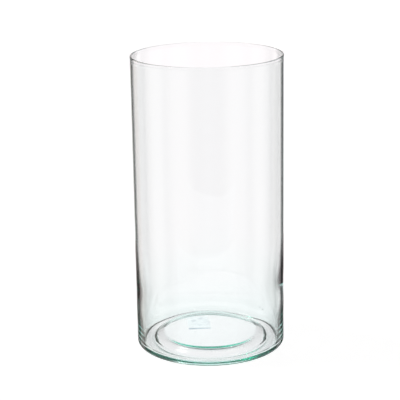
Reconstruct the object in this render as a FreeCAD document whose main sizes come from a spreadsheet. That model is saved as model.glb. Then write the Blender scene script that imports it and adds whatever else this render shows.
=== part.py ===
import FreeCAD, Part
import math
import os

import Sketcher

# Glass cylinder vase, 300 mm tall, blown from one gather of soda glass.
#
# The vase is one piece of glass: a straight wall that thickens towards the floor, a
# fire-polished rim, and a floor that is pushed up in the middle, so that the vase stands
# on a ring.  A small paper label is stuck under the raised middle.  Units are
# millimetres, +Z is up, and the origin is on the table at the centre of the foot.

# Driving dimensions: the alias, the value in millimetres (or degrees) and what it is.
SIZES = [
    ("overall_height", 300.0, "table to the top of the rim"),
    ("body_radius", 76.0, "outside of the straight wall"),
    ("wall_thickness", 2.0, "straight wall, above where it thickens"),
    ("rim_radius", 1.1, "section radius of the fire-polished rim"),
    ("swell_height", 123.0, "table to where the wall starts to thicken downwards"),
    ("swell_radius", 2200.0, "long curve of the inside wall as it thickens"),
    ("corner_radius", 4.5, "inside corner between the wall and the floor"),
    ("heel_radius", 5.0, "outside corner between the wall and the foot"),
    ("foot_inner_radius", 59.0, "where the flat of the foot ring ends"),
    ("kick_radius", 47.0, "flat raised middle of the underside"),
    ("kick_height", 7.0, "gap between the table and the raised middle"),
    ("kick_crest_radius", 10.8, "curve from the raised middle into its slope"),
    ("floor_height", 4.0, "table to the inside floor, next to the wall"),
    ("floor_inner_radius", 65.0, "where the level floor next to the wall ends"),
    ("mound_radius", 47.0, "flat top of the mound in the middle of the floor"),
    ("mound_height", 11.3, "table to the top of the mound"),
    ("mound_crest_radius", 12.0, "curve from the top of the mound into its slope"),
    ("label_length", 33.0, "paper label, its long side"),
    ("label_width", 23.5, "paper label, its short side"),
    ("label_thickness", 0.15, "paper and its glue"),
    ("label_offset_x", -12.5, "centre of the label from the axis"),
    ("label_offset_y", 21.0, "centre of the label from the axis"),
    ("label_turn", 5.0, "turn of the label about its own centre, in degrees"),
]

SHEET = "Sizes"

# Point positions in the Sketcher.
START = 1
END = 2
CENTRE = 3

# Geometry numbers that the Sketcher gives to its own origin and axes.
ORIGIN = -1
X_AXIS = -1
Y_AXIS = -2


def make_sheet(doc):
    """Puts every driving dimension into the spreadsheet, one row each."""
    sheet = doc.addObject("Spreadsheet::Sheet", SHEET)
    for row, (alias, value, meaning) in enumerate(SIZES, start=1):
        sheet.set(f"A{row}", alias)
        sheet.set(f"B{row}", str(value))
        sheet.set(f"C{row}", meaning)
        sheet.setAlias(f"B{row}", alias)
    doc.recompute()
    return sheet


def origin_plane(body, role):
    """Returns one of a body's own origin planes, such as XZ_Plane."""
    for feature in body.Origin.OriginFeatures:
        if feature.Role == role:
            return feature
    raise ValueError(f"{body.Name} has no {role}")


def make_body(doc, name):
    body = doc.addObject("PartDesign::Body", name)
    body.Label = name
    return body


def make_sketch(body, name, role):
    """Adds a sketch that lies on one of the body's origin planes."""
    sketch = body.newObject("Sketcher::SketchObject", name)
    sketch.AttachmentSupport = (origin_plane(body, role), [""])
    sketch.MapMode = "FlatFace"
    return sketch


def constrain(sketch, kind, *what):
    return sketch.addConstraint(Sketcher.Constraint(kind, *what))


def measure(sketch, name, expression, kind, *what):
    """Adds a named dimension to the sketch and binds it to the spreadsheet."""
    index = constrain(sketch, kind, *what)
    sketch.renameConstraint(index, name)
    sketch.setExpression(f"Constraints.{name}", expression)


def line(sketch, start, end):
    edge = Part.LineSegment(FreeCAD.Vector(*start, 0), FreeCAD.Vector(*end, 0))
    return sketch.addGeometry(edge)


def arc(sketch, centre, radius, start_degrees, end_degrees):
    circle = Part.Circle(FreeCAD.Vector(*centre, 0), FreeCAD.Vector(0, 0, 1), radius)
    start, end = math.radians(start_degrees), math.radians(end_degrees)
    return sketch.addGeometry(Part.ArcOfCircle(circle, start, end))


def slope(sketch, high, low, crest_radius):
    """Two arcs, level at both ends, that fall from an inner end to a lower outer end.

    Each arc starts where the two meet, and ends at its level end.
    """
    across = low[0] - high[0]
    down = high[1] - low[1]
    lean = math.degrees(2 * math.atan2(down, across))
    foot_radius = (across**2 + down**2) / (2 * down) - crest_radius
    crest = arc(sketch, (high[0], high[1] - crest_radius), crest_radius, 90 - lean, 90)
    foot = arc(sketch, (low[0], low[1] + foot_radius), foot_radius, 270 - lean, 270)
    constrain(sketch, "Tangent", crest, START, foot, START)
    return crest, foot


def draw_vase_section(sketch, sheet):
    """Draws half of the vase's section, from the axis out, and binds its sizes."""
    top = sheet.overall_height
    outer = sheet.body_radius
    inner = outer - sheet.wall_thickness
    rim = sheet.rim_radius
    swell = sheet.swell_radius
    swell_top = sheet.swell_height
    corner = sheet.corner_radius
    heel = sheet.heel_radius
    foot = sheet.foot_inner_radius
    kick = (sheet.kick_radius, sheet.kick_height)
    floor = sheet.floor_height
    valley = (sheet.floor_inner_radius, floor)
    mound = (sheet.mound_radius, sheet.mound_height)

    rim_centre = (outer - sheet.wall_thickness / 2, top - rim)
    neck_angle = math.degrees(math.acos(sheet.wall_thickness / 2 / rim))
    neck = top - rim - rim * math.sin(math.radians(neck_angle))
    lean = math.degrees(math.asin((swell_top - floor - corner) / (swell - corner)))
    corner_middle = inner - (swell - corner) * (1 - math.cos(math.radians(lean))) - corner

    underside = line(sketch, (0, kick[1]), kick)
    kick_crest, kick_foot = slope(sketch, kick, (foot, 0), sheet.kick_crest_radius)
    foot_flat = line(sketch, (foot, 0), (outer - heel, 0))
    heel_arc = arc(sketch, (outer - heel, heel), heel, 270, 360)
    outer_wall = line(sketch, (outer, heel), (outer, neck))
    rim_arc = arc(sketch, rim_centre, rim, -neck_angle, 180 + neck_angle)
    inner_wall = line(sketch, (inner, neck), (inner, swell_top))
    swell_arc = arc(sketch, (inner - swell, swell_top), swell, -lean, 0)
    corner_arc = arc(sketch, (corner_middle, floor + corner), corner, 270, 360 - lean)
    valley_line = line(sketch, (corner_middle, floor), valley)
    mound_crest, mound_foot = slope(sketch, mound, valley, sheet.mound_crest_radius)
    mound_line = line(sketch, mound, (0, mound[1]))
    axis_line = line(sketch, (0, mound[1]), (0, kick[1]))

    for edges in (
        (underside, END, kick_crest, END),
        (kick_foot, END, foot_flat, START),
        (foot_flat, END, heel_arc, START),
        (heel_arc, END, outer_wall, START),
        (inner_wall, END, swell_arc, END),
        (swell_arc, START, corner_arc, END),
        (corner_arc, START, valley_line, START),
        (valley_line, END, mound_foot, END),
        (mound_crest, END, mound_line, START),
    ):
        constrain(sketch, "Tangent", *edges)
    for ends in (
        (outer_wall, END, rim_arc, START),
        (rim_arc, END, inner_wall, START),
        (mound_line, END, axis_line, START),
        (axis_line, END, underside, START),
    ):
        constrain(sketch, "Coincident", *ends)
    for edge in (underside, foot_flat, valley_line, mound_line):
        constrain(sketch, "Horizontal", edge)
    for edge in (outer_wall, inner_wall):
        constrain(sketch, "Vertical", edge)
    constrain(sketch, "PointOnObject", foot_flat, START, X_AXIS)
    constrain(sketch, "PointOnObject", axis_line, START, Y_AXIS)
    constrain(sketch, "PointOnObject", axis_line, END, Y_AXIS)

    def radius(name, edge, value):
        measure(sketch, name, f"{SHEET}.{name}", "Radius", edge, value)

    def out(name, edge, end, value, expression=None):
        expression = expression or f"{SHEET}.{name}"
        measure(sketch, name, expression, "DistanceX", ORIGIN, START, edge, end, value)

    def up(name, edge, end, value, expression=None):
        expression = expression or f"{SHEET}.{name}"
        measure(sketch, name, expression, "DistanceY", ORIGIN, START, edge, end, value)

    up("kick_height", underside, END, kick[1])
    out("kick_radius", underside, END, kick[0])
    radius("kick_crest_radius", kick_crest, sheet.kick_crest_radius)
    out("foot_inner_radius", foot_flat, START, foot)
    radius("heel_radius", heel_arc, heel)
    out("body_radius", outer_wall, END, outer)
    inner_size = f"{SHEET}.body_radius - {SHEET}.wall_thickness"
    out("inner_radius", inner_wall, START, inner, inner_size)
    radius("rim_radius", rim_arc, rim)
    rim_out = f"{SHEET}.body_radius - {SHEET}.wall_thickness / 2"
    out("rim_middle", rim_arc, CENTRE, rim_centre[0], rim_out)
    rim_up = f"{SHEET}.overall_height - {SHEET}.rim_radius"
    up("rim_height", rim_arc, CENTRE, rim_centre[1], rim_up)
    up("swell_height", inner_wall, END, swell_top)
    radius("swell_radius", swell_arc, swell)
    radius("corner_radius", corner_arc, corner)
    up("floor_height", valley_line, END, floor)
    out("floor_inner_radius", valley_line, END, valley[0])
    out("mound_radius", mound_line, START, mound[0])
    up("mound_height", mound_line, START, mound[1])
    radius("mound_crest_radius", mound_crest, sheet.mound_crest_radius)


def make_vase(doc, sheet):
    """The blown glass: one section turned once round the axis."""
    body = make_body(doc, "glass_vase")
    sketch = make_sketch(body, "vase_section", "XZ_Plane")
    draw_vase_section(sketch, sheet)
    doc.recompute()
    turned = body.newObject("PartDesign::Revolution", "turned_glass")
    turned.Profile = sketch
    turned.ReferenceAxis = (sketch, ["V_Axis"])
    turned.Angle = 360
    doc.recompute()
    return body


def make_label(doc, sheet):
    """The paper label, stuck to the raised underside with its face to the table."""
    body = make_body(doc, "base_label")
    sketch = make_sketch(body, "label_outline", "XY_Plane")
    half_length = sheet.label_length / 2
    half_width = sheet.label_width / 2
    corners = [
        (-half_width, -half_length),
        (half_width, -half_length),
        (half_width, half_length),
        (-half_width, half_length),
    ]
    edges = [line(sketch, corners[i], corners[(i + 1) % 4]) for i in range(4)]
    for i in range(4):
        constrain(sketch, "Coincident", edges[i], END, edges[(i + 1) % 4], START)
        constrain(sketch, "Horizontal" if i % 2 == 0 else "Vertical", edges[i])
    constrain(sketch, "Symmetric", edges[0], START, edges[1], END, ORIGIN, START)
    width = (edges[0], START, edges[0], END, 2 * half_width)
    measure(sketch, "label_width", f"{SHEET}.label_width", "DistanceX", *width)
    length = (edges[1], START, edges[1], END, 2 * half_length)
    measure(sketch, "label_length", f"{SHEET}.label_length", "DistanceY", *length)
    doc.recompute()
    paper = body.newObject("PartDesign::Pad", "paper")
    paper.Profile = sketch
    paper.setExpression("Length", f"{SHEET}.label_thickness")
    body.setExpression("Placement.Base.x", f"{SHEET}.label_offset_x")
    body.setExpression("Placement.Base.y", f"{SHEET}.label_offset_y")
    body.setExpression("Placement.Base.z", f"{SHEET}.kick_height - {SHEET}.label_thickness")
    body.setExpression("Placement.Rotation.Angle", f"{SHEET}.label_turn")
    doc.recompute()
    return body


def check(doc, parts):
    """Stops if any object failed to compute or any sub-part has no valid solid."""
    for item in doc.Objects:
        if "Invalid" in item.State or "Error" in item.State:
            raise RuntimeError(f"{item.Label} did not compute: {item.State}")
        if item.TypeId == "Sketcher::SketchObject" and not item.FullyConstrained:
            raise RuntimeError(f"{item.Label} is not fully constrained")
    for part in parts:
        shape = part.Shape
        if shape.isNull() or not shape.isValid() or len(shape.Solids) != 1:
            raise RuntimeError(f"{part.Label} is not one valid solid")


def main():
    doc = FreeCAD.newDocument("glass_cylinder_vase")
    sheet = make_sheet(doc)
    parts = [make_vase(doc, sheet), make_label(doc, sheet)]
    doc.recompute()
    check(doc, parts)
    os.makedirs("parts", exist_ok=True)
    for part in parts:
        part.Shape.exportStep(f"parts/{part.Label}.step")
        box = part.Shape.optimalBoundingBox()
        print(
            f"{part.Label}: volume {part.Shape.Volume:.1f} mm3, "
            f"x {box.XMin:.2f} to {box.XMax:.2f}, y {box.YMin:.2f} to {box.YMax:.2f}, "
            f"z {box.ZMin:.2f} to {box.ZMax:.2f}"
        )


main()
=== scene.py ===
"""Looks of the glass cylinder vase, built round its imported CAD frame.  Units are metres."""

import math

import bpy
import numpy as np
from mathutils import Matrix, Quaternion, Vector


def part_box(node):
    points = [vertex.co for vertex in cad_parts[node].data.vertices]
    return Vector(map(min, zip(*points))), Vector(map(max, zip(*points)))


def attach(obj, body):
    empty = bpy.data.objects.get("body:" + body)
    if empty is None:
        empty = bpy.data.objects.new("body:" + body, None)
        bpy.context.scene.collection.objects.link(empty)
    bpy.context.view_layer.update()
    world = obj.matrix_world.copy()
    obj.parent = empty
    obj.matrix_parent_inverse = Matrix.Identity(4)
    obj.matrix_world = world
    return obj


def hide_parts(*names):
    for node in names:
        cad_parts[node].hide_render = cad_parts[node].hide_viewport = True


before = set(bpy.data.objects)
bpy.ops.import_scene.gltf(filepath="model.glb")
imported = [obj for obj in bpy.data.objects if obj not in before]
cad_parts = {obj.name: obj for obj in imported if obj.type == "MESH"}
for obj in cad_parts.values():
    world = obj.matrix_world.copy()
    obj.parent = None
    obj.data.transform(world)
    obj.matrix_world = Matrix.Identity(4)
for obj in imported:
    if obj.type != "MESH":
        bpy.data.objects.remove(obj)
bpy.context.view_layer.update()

MM = 0.001

# ---- sizes: the height comes from the frame, the others repeat the CAD's --------------
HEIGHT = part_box("glass_vase")[1].z
BODY_RADIUS = 76.0 * MM
WALL = 2.0 * MM
RIM = 1.1 * MM
HEEL = 5.0 * MM
FOOT_RADIUS = 59.0 * MM
KICK_RADIUS = 47.0 * MM
KICK_HEIGHT = 7.0 * MM
KICK_CREST = 10.8 * MM
VALLEY = 4.0 * MM
VALLEY_RADIUS = 65.0 * MM
MOUND = 11.3 * MM
MOUND_RADIUS = 47.0 * MM
MOUND_CREST = 12.0 * MM
CORNER = 4.5 * MM
SWELL = 2200.0 * MM
SWELL_TOP = 123.0 * MM
LABEL_WIDTH = 23.5 * MM
LABEL_LENGTH = 33.0 * MM
LABEL_CENTRE = (-12.5 * MM, 21.0 * MM)
LABEL_TURN = 5.0
# The sticker's sheet is this thick, and this far under the glass.
PAPER_THICK = 0.1 * MM
PAPER_GAP = 0.03 * MM
SEGMENTS = 256
# The outer wall has finer rings up to here.
FINE_WALL = 60.0 * MM
# Seeds, the small air bubbles left in the glass: the middle of each and its half sizes.
SEEDS = [
    ((48.4 * MM, -56.7 * MM, 55.5 * MM), (0.45 * MM, 0.45 * MM, 0.5 * MM)),
    ((51.2 * MM, -54.1 * MM, 52.3 * MM), (0.5 * MM, 0.5 * MM, 0.7 * MM)),
    ((-16.4 * MM, -7.4 * MM, 9.2 * MM), (0.7 * MM, 0.7 * MM, 0.5 * MM)),
]

# ---- looks ----------------------------------------------------------------------------
GLASS_IOR = 1.52
GLASS_GREEN = (0.06, 0.88, 0.74, 1)
GLASS_DENSITY = 16.5
PAPER = (0.98, 0.93, 0.97, 1)
# The colour of the print marks, also used for the painted shadow along the label's near edge.
PRINT_AND_PAINTED_SHADOW = (0.38, 0.42, 0.5, 1)
# How brightly the label glows: painted light in place of light coming through the paper from below.
PAPER_PAINTED_GLOW = 0.94

# ---- the studio -----------------------------------------------------------------------
# Brightness of the surroundings, up to just above the horizon, as (angle, level) stops.  The
# angle is in degrees from straight behind the vase.
LEVELS = [
    (0, 1.04),
    (5, 1.03),
    (12, 0.88),
    (17, 0.42),
    (23, 0.1),
    (34, 0.1),
    (41, 0.9),
    (49, 0.9),
    (58, 0.3),
    (70, 0.35),
    (82, 0.7),
    (98, 0.7),
    (112, 0.4),
    (128, 0.6),
    (142, 0.6),
    (160, 0.3),
    (180, 0.3),
]
# The dark upper part of the surroundings, and straight overhead.
ABOVE = 0.03
ZENITH = 0.1
ZENITH_EDGE = (0.94, 0.99)
# The low part ends between these heights, as the sine of the elevation.
LOW_END = (0.08, 0.3)
# The bright back wall reaches this much higher, and narrows away between these angles.
BACK_RISE = 0.27
BACK_WIDTH = (5, 10)
# A lamp high on the left, a little behind the vase.
WINDOW = 10.0
WINDOW_WAY = (-0.52, 0.1, 0.85)
WINDOW_SIZE = (0.06, 0.2)
# The surroundings are warmer to the left.
TINT = (1.06, 1.0, 1.02, 1)
WARM = (1.1, 0.975, 0.94, 1)
WARM_EDGE = (-0.4, -0.08)
# The floor that the camera sees.  Rays through the glass or mirrored by it pass it by.
FLOOR_SIDE = 60.0
FLOOR_LEVEL = -0.4 * MM
FLOOR_GREY = 0.55
FLOOR_GLOW = 0.95
# A disc under the base, which shows only through the glass.
TABLE_RADIUS = 72.5 * MM
TABLE_LEVEL = -0.2 * MM
TABLE_GREY = 0.1
TABLE_GLOW = 1.0
TABLE_TINT = (1.1, 0.985, 1.02, 1)
# A pale card in front of the vase, which shows only in the glass and through it.  Its corners
# are in mm.
CARD = [(-40, -70), (-357, -325), (0, -410), (307, -398), (30, -70)]
CARD_LEVEL = -0.1 * MM
CARD_GREY = 0.2
CARD_GLOW = 0.7

# ---- the camera: it looks down by ELEVATION at AIM, and leans by ROLL -----------------
ELEVATION = 15.77
DISTANCE = 1.377
LENS = 122.35
ROLL = 0.92
AIM = Vector((-0.0089, 0, 0.1509))


def arc(centre, radius, start, end, count):
    """Points on an arc of the section, from one angle in degrees to the other."""
    angles = np.radians(np.linspace(start, end, count))
    return np.stack([centre[0] + radius * np.cos(angles), centre[1] + radius * np.sin(angles)], 1)


def straight(start, end, count):
    """Points on a straight run of the section, without its first and last."""
    return np.linspace(start, end, count + 2)[1:-1]


def slope(high, low, crest, count):
    """Two arcs, level at both ends, that fall from an inner end to a lower outer end."""
    across, down = low[0] - high[0], high[1] - low[1]
    lean = 2 * math.atan2(down, across)
    foot = (across**2 + down**2) / (2 * down) - crest
    sweep = np.linspace(0, lean, count)
    bend = np.stack([np.sin(sweep), np.cos(sweep) - 1], 1)
    return np.concatenate([np.array(high) + crest * bend, (np.array(low) - foot * bend)[::-1][1:]])


def vase_section():
    """Half of the section, from the axis under the floor, out and up, and back to the axis."""
    inner = BODY_RADIUS - WALL
    neck_angle = math.degrees(math.acos(WALL / 2 / RIM))
    neck = HEIGHT - RIM - RIM * math.sin(math.radians(neck_angle))
    lean = math.asin((SWELL_TOP - VALLEY - CORNER) / (SWELL - CORNER))
    corner_radius = inner - (SWELL - CORNER) * (1 - math.cos(lean)) - CORNER
    low_angle = 360 - math.degrees(lean)
    runs = [
        straight((0, KICK_HEIGHT), (KICK_RADIUS, KICK_HEIGHT), 12),
        slope((KICK_RADIUS, KICK_HEIGHT), (FOOT_RADIUS, 0), KICK_CREST, 16),
        straight((FOOT_RADIUS, 0), (BODY_RADIUS - HEEL, 0), 5),
        arc((BODY_RADIUS - HEEL, HEEL), HEEL, 270, 360, 14),
        straight((BODY_RADIUS, HEEL), (BODY_RADIUS, FINE_WALL), 60),
        straight((BODY_RADIUS, FINE_WALL - MM), (BODY_RADIUS, neck), 50),
        arc((BODY_RADIUS - WALL / 2, HEIGHT - RIM), RIM, -neck_angle, 180 + neck_angle, 24),
        straight((inner, neck), (inner, SWELL_TOP), 36),
        arc((inner - SWELL, SWELL_TOP), SWELL, 360, low_angle, 80),
        arc((corner_radius, VALLEY + CORNER), CORNER, low_angle, 270, 14)[1:],
        straight((corner_radius, VALLEY), (VALLEY_RADIUS, VALLEY), 3),
        slope((MOUND_RADIUS, MOUND), (VALLEY_RADIUS, VALLEY), MOUND_CREST, 16)[::-1],
        straight((MOUND_RADIUS, MOUND), (0, MOUND), 12),
    ]
    return np.concatenate(runs)


def smooth(value, low, high):
    """0 below low, 1 above high, smooth between; low may be the greater."""
    part = np.clip((value - low) / (high - low), 0, 1)
    return part * part * (3 - 2 * part)


def unevenness(radius, height, turn):
    """How far a hand-made wall comes in from its drawn radius, outside and inside."""
    z = height / MM
    wall = smooth(z, 9, 20) * smooth(z, 292, 270)
    low = smooth(z, 170, 60)
    slow = np.sin(z / 9.0 + 2 * turn + 0.6) + 0.8 * np.sin(z / 5.6 - 3 * turn + 2.1)
    fine = np.sin(z / 0.85 + 1.3 * np.sin(3 * turn)) * smooth(z, 42, 22)
    drawn = np.sin(17 * turn + z / 60) + np.sin(29 * turn + 1.7)
    outside = (0.07 * (1.9 + slow) * low + 0.012 * fine + 0.002 * drawn) * MM
    belly = np.exp(-(((z - 60 - 8 * np.cos(turn)) / 19) ** 2)) * (1.0 + 0.35 * np.cos(turn - 0.4))
    inside = (0.6 * belly + 0.09 * slow * low + 0.004 * drawn) * MM
    middle = BODY_RADIUS - WALL
    is_outside = (radius > middle + 0.3 * MM) & (z > 5)
    is_inside = (radius <= middle + 0.3 * MM) & (radius > 65 * MM) & (z > VALLEY / MM + 1)
    return wall * np.where(is_outside, outside, np.where(is_inside, inside, 0))


def bubble(middle, half, first):
    """A small closed pocket of air, with its faces turned to the glass; first is its first point."""
    rows, columns = 7, 12
    tilt = np.radians(np.linspace(-90, 90, rows + 2)[1:-1])[:, None]
    turn = np.linspace(0, 2 * math.pi, columns, endpoint=False)[None, :]
    across, along, up = np.cos(tilt) * np.cos(turn), np.cos(tilt) * np.sin(turn), np.sin(tilt) + 0 * turn
    ball = np.stack([across, along, up], 2)
    ball = np.vstack([ball.reshape(-1, 3), [[0, 0, -1], [0, 0, 1]]])
    bottom, top = first + rows * columns, first + rows * columns + 1
    faces = []
    for k in range(columns):
        after = (k + 1) % columns
        faces.append((bottom, first + k, first + after))
        faces.append((top, first + (rows - 1) * columns + after, first + (rows - 1) * columns + k))
        for row in range(rows - 1):
            a, b = first + row * columns + k, first + row * columns + after
            faces.append((a, a + columns, b + columns, b))
    return np.array(middle) + ball * np.array(half), faces


def revolve(name, section, segments):
    """Turns a section round the Z axis into a closed mesh, with one point at each end on the axis."""
    turn = np.linspace(0, 2 * math.pi, segments, endpoint=False)[None, :]
    rings = len(section)
    radius, height = section[:, 0][:, None], section[:, 1][:, None]
    radius = radius - unevenness(radius, height, turn)
    points = np.stack(
        [radius * np.cos(turn), radius * np.sin(turn), np.broadcast_to(height, (rings, segments))], 2
    ).reshape(-1, 3)
    first, last = len(points), len(points) + 1
    points = np.vstack([points, [[0, 0, section[0, 1]], [0, 0, section[-1, 1]]]])
    faces = []
    for ring in range(rings - 1):
        for k in range(segments):
            a = ring * segments + k
            b = ring * segments + (k + 1) % segments
            faces.append((a, b, b + segments, a + segments))
    top = (rings - 1) * segments
    for k in range(segments):
        after = (k + 1) % segments
        faces.append((first, after, k))
        faces.append((last, top + k, top + after))
    for middle, half in SEEDS:
        ball, skin = bubble(middle, half, len(points))
        points = np.vstack([points, ball])
        faces += skin
    mesh = bpy.data.meshes.new(name)
    mesh.from_pydata(points.tolist(), [], faces)
    mesh.validate()
    mesh.shade_smooth()
    piece = bpy.data.objects.new(name, mesh)
    bpy.context.scene.collection.objects.link(piece)
    return piece


def maths(tree, operation, first, second=0.5, clamp=False):
    """A Math node on two sockets or numbers, as its output socket."""
    node = tree.nodes.new("ShaderNodeMath")
    node.operation = operation
    node.use_clamp = clamp
    for socket, value in zip(node.inputs, (first, second)):
        if isinstance(value, bpy.types.NodeSocket):
            tree.links.new(value, socket)
        else:
            socket.default_value = value
    return node.outputs[0]


def ramp(tree, value, low, high, bottom, top):
    """Goes smoothly from bottom to top as value goes from low to high."""
    node = tree.nodes.new("ShaderNodeMapRange")
    node.interpolation_type = "SMOOTHSTEP"
    for name, number in (("From Min", low), ("From Max", high), ("To Min", bottom), ("To Max", top)):
        if isinstance(number, bpy.types.NodeSocket):
            tree.links.new(number, node.inputs[name])
        else:
            node.inputs[name].default_value = number
    tree.links.new(value, node.inputs["Value"])
    return node.outputs["Result"]


def glass_material():
    """Clear soda glass: green through its thickness, with faint smears and a fine waviness."""
    mat = bpy.data.materials.new("clear_glass")
    mat.use_nodes = True
    tree = mat.node_tree
    shader = tree.nodes["Principled BSDF"]
    shader.inputs["Base Color"].default_value = (1, 1, 1, 1)
    shader.inputs["Transmission Weight"].default_value = 1.0
    shader.inputs["IOR"].default_value = GLASS_IOR
    where = tree.nodes.new("ShaderNodeTexCoord").outputs["Object"]
    smear = tree.nodes.new("ShaderNodeTexNoise")
    smear.inputs["Scale"].default_value = 35.0
    smear.inputs["Detail"].default_value = 4.0
    tree.links.new(where, smear.inputs["Vector"])
    tree.links.new(ramp(tree, smear.outputs["Fac"], 0.5, 0.75, 0.0, 0.02), shader.inputs["Roughness"])
    drawn = tree.nodes.new("ShaderNodeMapping")
    drawn.inputs["Scale"].default_value = (60, 60, 6)
    tree.links.new(where, drawn.inputs["Vector"])
    wave = tree.nodes.new("ShaderNodeTexNoise")
    wave.inputs["Scale"].default_value = 1.0
    wave.inputs["Detail"].default_value = 1.0
    tree.links.new(drawn.outputs["Vector"], wave.inputs["Vector"])
    bump = tree.nodes.new("ShaderNodeBump")
    bump.inputs["Strength"].default_value = 0.5
    bump.inputs["Distance"].default_value = 0.00004
    tree.links.new(wave.outputs["Fac"], bump.inputs["Height"])
    tree.links.new(bump.outputs["Normal"], shader.inputs["Normal"])
    absorb = tree.nodes.new("ShaderNodeVolumeAbsorption")
    absorb.inputs["Color"].default_value = GLASS_GREEN
    absorb.inputs["Density"].default_value = GLASS_DENSITY
    tree.links.new(absorb.outputs[0], tree.nodes["Material Output"].inputs["Volume"])
    return mat


def paper_material():
    """White paper with a painted glow in place of light coming through it, faint blue-grey blots and a
    painted grey shadow along its near edge.
    """
    mat = bpy.data.materials.new("label_paper")
    mat.use_nodes = True
    tree = mat.node_tree
    shader = tree.nodes["Principled BSDF"]
    where = tree.nodes.new("ShaderNodeTexCoord").outputs["Object"]
    speckle = tree.nodes.new("ShaderNodeTexNoise")
    speckle.inputs["Scale"].default_value = 170.0
    speckle.inputs["Detail"].default_value = 3.0
    tree.links.new(where, speckle.inputs["Vector"])
    marks = ramp(tree, speckle.outputs["Fac"], 0.52, 0.62, 0.0, 1.0)
    spot = tree.nodes.new("ShaderNodeVectorMath")
    spot.operation = "DISTANCE"
    spot.inputs[1].default_value = (LABEL_CENTRE[0] + 3 * MM, LABEL_CENTRE[1] + 1 * MM, KICK_HEIGHT)
    tree.links.new(where, spot.inputs[0])
    inside = ramp(tree, spot.outputs["Value"], 9 * MM, 15 * MM, 0.6, 0.0)
    print_and_painted_shadow = maths(tree, "MULTIPLY", marks, inside)
    tone = tree.nodes.new("ShaderNodeMix")
    tone.data_type = "RGBA"
    tone.inputs["A"].default_value = PAPER
    tone.inputs["B"].default_value = PRINT_AND_PAINTED_SHADOW
    across = tree.nodes.new("ShaderNodeSeparateXYZ")
    tree.links.new(tree.nodes.new("ShaderNodeTexCoord").outputs["Generated"], across.inputs[0])
    # Painted shadow: a grey strip along the sticker's near edge stands in for the shadow it casts on the
    # table below.
    painted_shadow_edge = ramp(tree, across.outputs["Y"], 0.04, 0.12, 0.95, 0.0)
    print_and_painted_shadow = maths(tree, "ADD", print_and_painted_shadow, painted_shadow_edge, clamp=True)
    tree.links.new(print_and_painted_shadow, tone.inputs["Factor"])
    tree.links.new(tone.outputs["Result"], shader.inputs["Base Color"])
    # Painted glow: the paper shines in its own colour, standing in for light coming through it from
    # below.
    tree.links.new(tone.outputs["Result"], shader.inputs["Emission Color"])
    tree.links.new(ramp(tree, speckle.outputs["Fac"], 0.3, 0.7, 0.7, 0.9), shader.inputs["Roughness"])
    shader.inputs["Emission Strength"].default_value = PAPER_PAINTED_GLOW
    bump = tree.nodes.new("ShaderNodeBump")
    bump.inputs["Strength"].default_value = 0.2
    bump.inputs["Distance"].default_value = 0.0002
    tree.links.new(speckle.outputs["Fac"], bump.inputs["Height"])
    tree.links.new(bump.outputs["Normal"], shader.inputs["Normal"])
    return mat


def make_label():
    """A thin paper sticker under the raised middle of the base, one corner lifting from the glass."""
    across, along = 24, 34
    u, v = np.meshgrid(np.linspace(-0.5, 0.5, across + 1), np.linspace(-0.5, 0.5, along + 1))
    x, y = u * LABEL_WIDTH, v * LABEL_LENGTH
    loose_corner = np.clip((-u + v) - 0.72, 0, 1) ** 2 * 12 * MM
    loose_edge = np.clip(-v - 0.42, 0, 1) ** 2 * 90 * MM
    lift = loose_corner + loose_edge
    turn = math.radians(LABEL_TURN)
    px = LABEL_CENTRE[0] + x * math.cos(turn) - y * math.sin(turn)
    py = LABEL_CENTRE[1] + x * math.sin(turn) + y * math.cos(turn)
    top = KICK_HEIGHT - PAPER_GAP - lift
    upper = np.stack([px, py, top], 2).reshape(-1, 3)
    lower = upper - [0, 0, PAPER_THICK]
    row, count = across + 1, (across + 1) * (along + 1)
    faces = []
    for j in range(along):
        for i in range(across):
            a = j * row + i
            faces.append((a, a + 1, a + 1 + row, a + row))
            faces.append((count + a, count + a + row, count + a + 1 + row, count + a + 1))
    edge = list(range(row))
    edge += [j * row + across for j in range(1, along + 1)]
    edge += [along * row + i for i in range(across - 1, -1, -1)]
    edge += [j * row for j in range(along - 1, 0, -1)]
    for here, after in zip(edge, edge[1:] + edge[:1]):
        faces.append((after, here, count + here, count + after))
    mesh = bpy.data.meshes.new("sticker")
    mesh.from_pydata(np.vstack([upper, lower]).tolist(), [], faces)
    mesh.validate()
    piece = bpy.data.objects.new("sticker", mesh)
    bpy.context.scene.collection.objects.link(piece)
    return piece


def levels(tree, value, stops):
    """A smooth curve through (angle, level) stops, read at an angle from 0 to 1 half turn."""
    node = tree.nodes.new("ShaderNodeValToRGB")
    node.color_ramp.interpolation = "EASE"
    elements = node.color_ramp.elements
    while len(elements) < len(stops):
        elements.new(0.5)
    for element, (angle, level) in zip(elements, stops):
        element.position = angle / 180
        element.color = (level, level, level, 1)
    tree.links.new(value, node.inputs[0])
    return node.outputs[0]


def sheet(name, outline, level, grey, glow, tint=(1, 1, 1, 1)):
    """A flat staged sheet at a height, with a matt grey face that also glows."""
    mesh = bpy.data.meshes.new(name)
    mesh.from_pydata([(px, py, level) for px, py in outline], [], [tuple(range(len(outline)))])
    piece = bpy.data.objects.new(name, mesh)
    bpy.context.scene.collection.objects.link(piece)
    mat = bpy.data.materials.new(name)
    mat.use_nodes = True
    shader = mat.node_tree.nodes["Principled BSDF"]
    shader.inputs["Base Color"].default_value = (grey, grey, grey, 1)
    shader.inputs["Roughness"].default_value = 0.9
    shader.inputs["Emission Color"].default_value = tint
    shader.inputs["Emission Strength"].default_value = glow
    mesh.materials.append(mat)
    return piece


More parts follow.
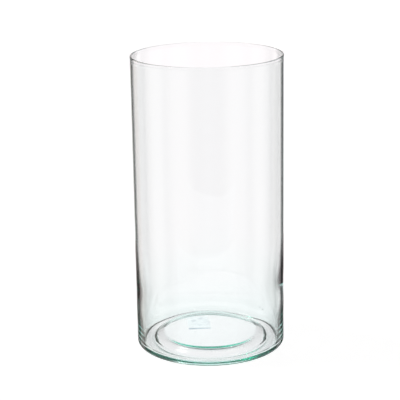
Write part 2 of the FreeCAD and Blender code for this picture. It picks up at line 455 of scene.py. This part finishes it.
def studio():
    """The surroundings, the floor, the disc under the base, and the card in front."""
    world = bpy.data.worlds.new("soft_tent")
    bpy.context.scene.world = world
    world.use_nodes = True
    tree = world.node_tree
    way = tree.nodes.new("ShaderNodeSeparateXYZ")
    sky = tree.nodes.new("ShaderNodeTexCoord").outputs["Generated"]
    tree.links.new(sky, way.inputs[0])
    x, y, z = way.outputs
    turn = maths(tree, "ARCTAN2", x, y)
    around = maths(tree, "DIVIDE", maths(tree, "ABSOLUTE", turn), math.pi)
    low = levels(tree, around, LEVELS)
    tall = ramp(tree, around, BACK_WIDTH[0] / 180, BACK_WIDTH[1] / 180, BACK_RISE, 0.0)
    start = maths(tree, "ADD", tall, LOW_END[0])
    end = maths(tree, "ADD", tall, LOW_END[1])
    level = ramp(tree, z, start, end, low, ABOVE)
    level = ramp(tree, z, ZENITH_EDGE[0], ZENITH_EDGE[1], level, ZENITH)
    spot = tree.nodes.new("ShaderNodeVectorMath")
    spot.operation = "DISTANCE"
    spot.inputs[1].default_value = WINDOW_WAY
    tree.links.new(sky, spot.inputs[0])
    lamp = ramp(tree, spot.outputs["Value"], WINDOW_SIZE[0], WINDOW_SIZE[1], WINDOW, 0.0)
    level = maths(tree, "ADD", level, lamp)
    back = tree.nodes["Background"]
    side = tree.nodes.new("ShaderNodeMix")
    side.data_type = "RGBA"
    side.inputs["A"].default_value = WARM
    side.inputs["B"].default_value = TINT
    tree.links.new(ramp(tree, x, WARM_EDGE[0], WARM_EDGE[1], 0.0, 1.0), side.inputs["Factor"])
    tree.links.new(side.outputs["Result"], back.inputs["Color"])
    tree.links.new(level, back.inputs["Strength"])

    half = FLOOR_SIDE / 2
    square = [(-half, -half), (half, -half), (half, half), (-half, half)]
    floor = sheet("floor", square, FLOOR_LEVEL, FLOOR_GREY, FLOOR_GLOW)
    floor.visible_transmission = False
    floor.visible_glossy = False
    turn = np.linspace(0, 2 * math.pi, 96, endpoint=False)
    ring = (TABLE_RADIUS * np.stack([np.cos(turn), np.sin(turn)], 1)).tolist()
    table = sheet("table_top", ring, TABLE_LEVEL, TABLE_GREY, TABLE_GLOW, TABLE_TINT)
    corners = [(px * MM, py * MM) for px, py in CARD]
    card = sheet("front_card", corners, CARD_LEVEL, CARD_GREY, CARD_GLOW)
    for piece in (table, card):
        piece.visible_camera = False
        piece.visible_diffuse = False
        piece.visible_shadow = False


def camera():
    """The camera stands in front of the vase, looks down at it, and leans a little."""
    data = bpy.data.cameras.new("camera")
    data.lens = LENS
    data.sensor_width = 36
    data.clip_end = 100
    cam = bpy.data.objects.new("camera", data)
    bpy.context.scene.collection.objects.link(cam)
    tilt = math.radians(ELEVATION)
    cam.location = AIM + DISTANCE * Vector((0, -math.cos(tilt), math.sin(tilt)))
    look = (AIM - cam.location).to_track_quat("-Z", "Y")
    cam.rotation_mode = "QUATERNION"
    cam.rotation_quaternion = look @ Quaternion((0, 0, 1), math.radians(-ROLL))
    bpy.context.scene.camera = cam


vase = revolve("vase_glass", vase_section(), SEGMENTS)
vase.data.materials.append(glass_material())
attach(vase, "root")
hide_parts("glass_vase")

sticker = make_label()
sticker.data.materials.append(paper_material())
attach(sticker, "root")
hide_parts("base_label")
# Diffuse rays pass the sticker by, so its painted glow does not light the table under it.
sticker.visible_diffuse = False

studio()
camera()

view = bpy.context.scene.view_settings
view.view_transform = "Standard"
cycles = bpy.context.scene.cycles
cycles.max_bounces = 48
cycles.transmission_bounces = 48
cycles.glossy_bounces = 24
cycles.transparent_max_bounces = 24
cycles.diffuse_bounces = 4
cycles.use_denoising = True
cycles.caustics_reflective = True
cycles.caustics_refractive = True
